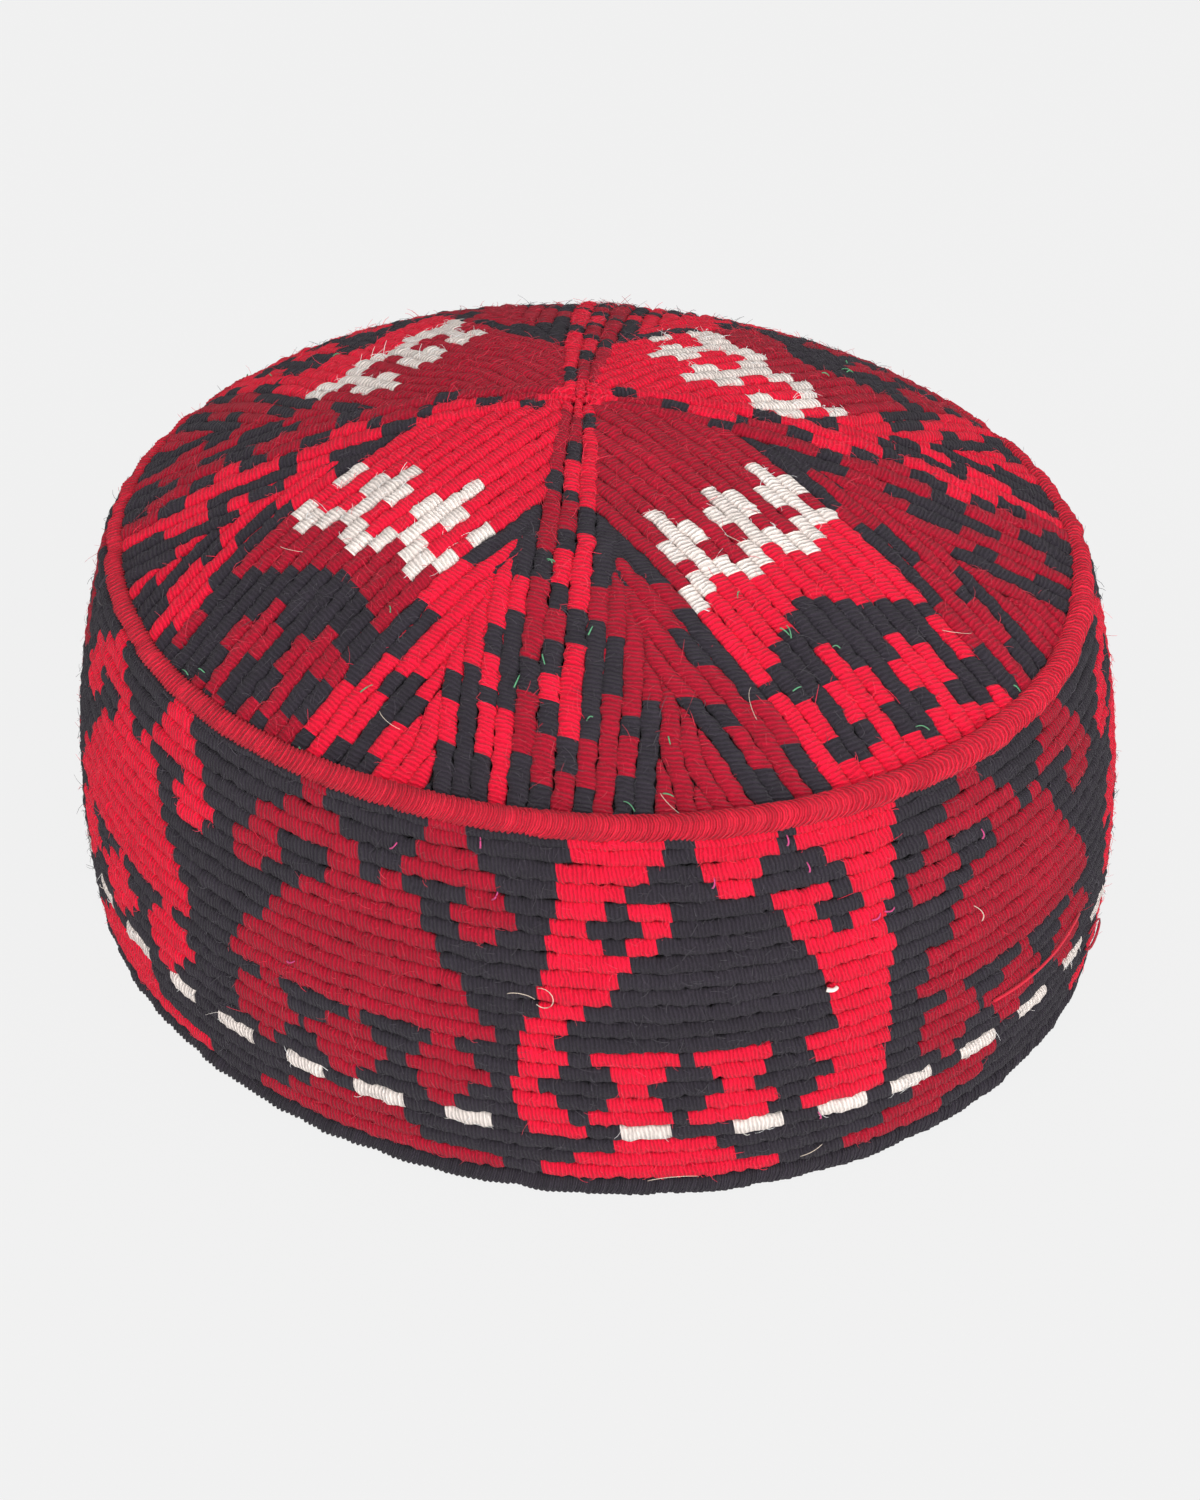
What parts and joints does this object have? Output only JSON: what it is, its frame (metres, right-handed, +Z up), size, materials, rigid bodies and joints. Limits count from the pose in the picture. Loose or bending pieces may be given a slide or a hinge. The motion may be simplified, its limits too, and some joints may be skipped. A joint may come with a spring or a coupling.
{
  "type": "embroidered afghan cap",
  "caption": "Stiff oval pillbox cap with a low domed crown, an upright corded side, a red seam cord and a black bound hem, open underneath for the head.",
  "frame": {"origin": "centre of the flat underside of the hem, on the surface that the cap stands on", "axes": "+Z up through the crown, -Y the front of the cap, +X to the right when seen from the front"},
  "size_m": [0.199, 0.1872, 0.1082],
  "materials": {
    "side_embroidery": "wool embroidery in bright red, dark red, black and off-white, wrapped over stacked cords",
    "crown_embroidery": "wool embroidery in bright red, dark red, black and off-white, wrapped over cords that run out to the seam",
    "seam_yarn": "cord overcast with red wool yarn",
    "hem_yarn": "edge overcast with black wool yarn"
  },
  "bodies": {
    "root": {"side_band": "side_embroidery", "hem_binding": "hem_yarn", "seam_cord": "seam_yarn", "crown": "crown_embroidery"}
  },
  "joints": []
}
